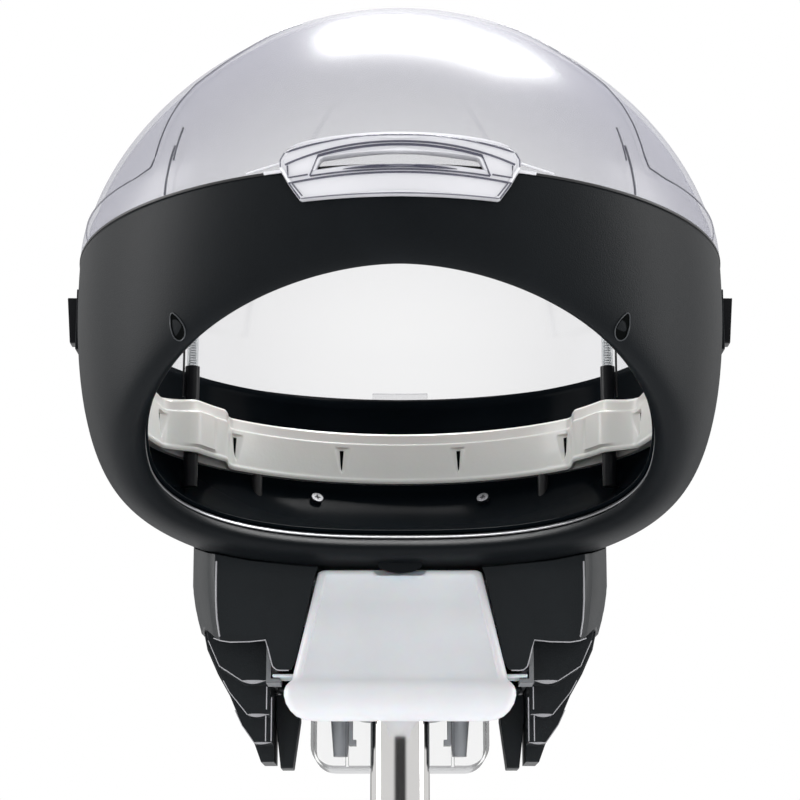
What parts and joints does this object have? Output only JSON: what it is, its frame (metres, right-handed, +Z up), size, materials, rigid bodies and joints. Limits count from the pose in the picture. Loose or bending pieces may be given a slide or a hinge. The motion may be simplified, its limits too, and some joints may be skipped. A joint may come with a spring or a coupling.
{
  "type": "ozone hair steamer",
  "caption": "Free-standing salon hair steamer: hinged clear hood with a steam ring and ozone posts, water tank and drip cup, on a height-adjustable castor stand.",
  "frame": {"origin": "centre of the bounding box on the floor", "axes": "+Z up, -Y towards the front, where the face opening and the tank are, +X to the right seen from the front"},
  "size_m": [0.6604, 0.628, 1.5793],
  "materials": {
    "charcoal_steel": "fine-textured charcoal powder coat",
    "chrome_tube": "polished chrome",
    "cast_frame": "bead-blasted casting",
    "housing_black": "satin black moulded cover",
    "shell_black": "fine-textured matte black moulding",
    "fitting_black": "smooth black moulding",
    "castor_black": "black nylon castor body",
    "wheel_grey": "grey polyurethane tread",
    "seal_rubber": "soft black seal",
    "bright_metal": "bright plated metal",
    "gloss_black": "glossy black liner",
    "ring_cream": "satin warm grey-cream moulding",
    "clear_glass": "clear glass tube",
    "mesh_metal": "fine wire mesh",
    "boiler_steel": "brushed stainless steel",
    "element_metal": "heat-darkened sheath",
    "ceramic": "cream ceramic-filled body",
    "hose": "black silicone hose",
    "feed_hose": "translucent silicone hose",
    "unit_blue": "potted blue module",
    "board_green": "solder-masked circuit board",
    "panel_grey": "satin dark grey panel",
    "lamp_red": "translucent red lens",
    "knob_grey": "satin light grey knob",
    "spout_grey": "grey moulded spout",
    "dome_smoke": "pale smoky lavender clear moulding",
    "handle_clear": "clear moulding with a pale lavender tint",
    "tank_frost": "frosted pale blue-grey moulding",
    "cup_clear": "clear moulding"
  },
  "bodies": {
    "base": {"base_star": "charcoal_steel", "lower_tube": "charcoal_steel", "height_collar": "fitting_black"},
    "mast": {"upper_tube": "chrome_tube"},
    "head": {"chassis": "cast_frame", "side_cover_left": "housing_black", "side_cover_right": "housing_black", "rear_housing": "housing_black", "base_plate": "housing_black", "louvre_left": "housing_black", "louvre_right": "housing_black", "lower_shell": "shell_black", "rim_seal": "seal_rubber", "mouth_trim": "bright_metal", "inner_bowl": "gloss_black", "steam_ring": "ring_cream", "post_clips": "ring_cream", "post_sleeves": "fitting_black", "ozone_tubes": "clear_glass", "ozone_electrodes": "mesh_metal", "ozone_leads": "hose", "bowl_screws": "bright_metal", "hinge_arm": "shell_black", "hinge_pin": "bright_metal", "boiler": "boiler_steel", "boiler_lid": "cast_frame", "heating_element": "element_metal", "thermostat": "ceramic", "feed_pipe": "feed_hose", "steam_pipes": "hose", "ozone_unit": "unit_blue", "control_board": "board_green", "control_panel": "panel_grey", "indicator_lamps": "lamp_red", "mains_inlet": "fitting_black", "drain_spouts": "spout_grey", "cup_hooks": "spout_grey", "cup_guides": "housing_black", "latch_plates": "shell_black"},
    "dome": {"hood_dome": "dome_smoke", "dome_handle": "handle_clear", "hinge_leaf": "dome_smoke"},
    "tank": {"water_tank": "tank_frost"},
    "cup": {"drip_cup": "cup_clear"},
    "clamp_knob": {"height_knob": "fitting_black"},
    "latch_left": {"latch_left": "fitting_black"},
    "latch_right": {"latch_right": "fitting_black"},
    "timer": {"timer_knob": "knob_grey"},
    "power_switch": {"power_switch": "fitting_black"},
    "ozone_switch": {"ozone_switch": "fitting_black"},
    "castor_1": {"castor_fork_1": "castor_black"},
    "castor_1_wheels": {"castor_wheels_1": "wheel_grey"},
    "castor_2": {"castor_fork_2": "castor_black"},
    "castor_2_wheels": {"castor_wheels_2": "wheel_grey"},
    "castor_3": {"castor_fork_3": "castor_black"},
    "castor_3_wheels": {"castor_wheels_3": "wheel_grey"},
    "castor_4": {"castor_fork_4": "castor_black"},
    "castor_4_wheels": {"castor_wheels_4": "wheel_grey"},
    "castor_5": {"castor_fork_5": "castor_black"},
    "castor_5_wheels": {"castor_wheels_5": "wheel_grey"}
  },
  "joints": [
    {"name": "height_slide", "type": "slide", "parent": "base", "child": "mast", "axis": [0, 0, 1], "range_m": [-0.15, 0.15]},
    {"name": "head_swivel", "type": "hinge", "parent": "mast", "child": "head", "pos_m": [0, 0.02698, 1.15], "axis": [0, 0, 1], "range_deg": [-90, 90]},
    {"name": "clamp_knob_turn", "type": "hinge", "parent": "base", "child": "clamp_knob", "pos_m": [0, 0.08698, 0.693], "axis": [0, 1, 0], "range_deg": [0, 180]},
    {"name": "dome_hinge", "type": "hinge", "parent": "head", "child": "dome", "pos_m": [0, 0.22945, 1.36], "axis": [-1, 0, 0], "range_deg": [0, 65]},
    {"name": "latch_left_slide", "type": "slide", "parent": "head", "child": "latch_left", "axis": [0, 0, -1], "range_m": [0, 0.005], "stiffness_N_per_m": 300, "springref_m": -0.002},
    {"name": "latch_right_slide", "type": "slide", "parent": "head", "child": "latch_right", "axis": [0, 0, -1], "range_m": [0, 0.005], "stiffness_N_per_m": 300, "springref_m": -0.002},
    {"name": "tank_slide", "type": "slide", "parent": "head", "child": "tank", "axis": [0, -1, 0], "range_m": [0, 0.11]},
    {"name": "cup_slide", "type": "slide", "parent": "head", "child": "cup", "axis": [0, 0, -1], "range_m": [0, 0.06]},
    {"name": "timer_turn", "type": "hinge", "parent": "head", "child": "timer", "pos_m": [0, 0.20698, 1.252], "axis": [0, 1, 0], "range_deg": [0, 270]},
    {"name": "power_switch_rock", "type": "hinge", "parent": "head", "child": "power_switch", "pos_m": [-0.038, 0.20428, 1.224], "axis": [1, 0, 0], "range_deg": [0, 16]},
    {"name": "ozone_switch_rock", "type": "hinge", "parent": "head", "child": "ozone_switch", "pos_m": [0.038, 0.20428, 1.224], "axis": [1, 0, 0], "range_deg": [0, 16]},
    {"name": "castor_1_swivel", "type": "hinge", "parent": "base", "child": "castor_1", "pos_m": [0, -0.26302, 0.07], "axis": [0, 0, 1], "continuous": true},
    {"name": "castor_1_roll", "type": "hinge", "parent": "castor_1", "child": "castor_1_wheels", "pos_m": [0, -0.28502, 0.025], "axis": [1, 0, 0], "continuous": true},
    {"name": "castor_2_swivel", "type": "hinge", "parent": "base", "child": "castor_2", "pos_m": [0.27581, -0.06264, 0.07], "axis": [0, 0, 1], "continuous": true},
    {"name": "castor_2_roll", "type": "hinge", "parent": "castor_2", "child": "castor_2_wheels", "pos_m": [0.29673, -0.06943, 0.025], "axis": [0.309, 0.9511, 0], "continuous": true},
    {"name": "castor_3_swivel", "type": "hinge", "parent": "base", "child": "castor_3", "pos_m": [0.17046, 0.26159, 0.07], "axis": [0, 0, 1], "continuous": true},
    {"name": "castor_3_roll", "type": "hinge", "parent": "castor_3", "child": "castor_3_wheels", "pos_m": [0.18339, 0.27939, 0.025], "axis": [-0.809, 0.5878, 0], "continuous": true},
    {"name": "castor_4_swivel", "type": "hinge", "parent": "base", "child": "castor_4", "pos_m": [-0.17046, 0.26159, 0.07], "axis": [0, 0, 1], "continuous": true},
    {"name": "castor_4_roll", "type": "hinge", "parent": "castor_4", "child": "castor_4_wheels", "pos_m": [-0.18339, 0.27939, 0.025], "axis": [-0.809, -0.5878, 0], "continuous": true},
    {"name": "castor_5_swivel", "type": "hinge", "parent": "base", "child": "castor_5", "pos_m": [-0.27581, -0.06264, 0.07], "axis": [0, 0, 1], "continuous": true},
    {"name": "castor_5_roll", "type": "hinge", "parent": "castor_5", "child": "castor_5_wheels", "pos_m": [-0.29673, -0.06943, 0.025], "axis": [0.309, -0.9511, 0], "continuous": true}
  ]
}
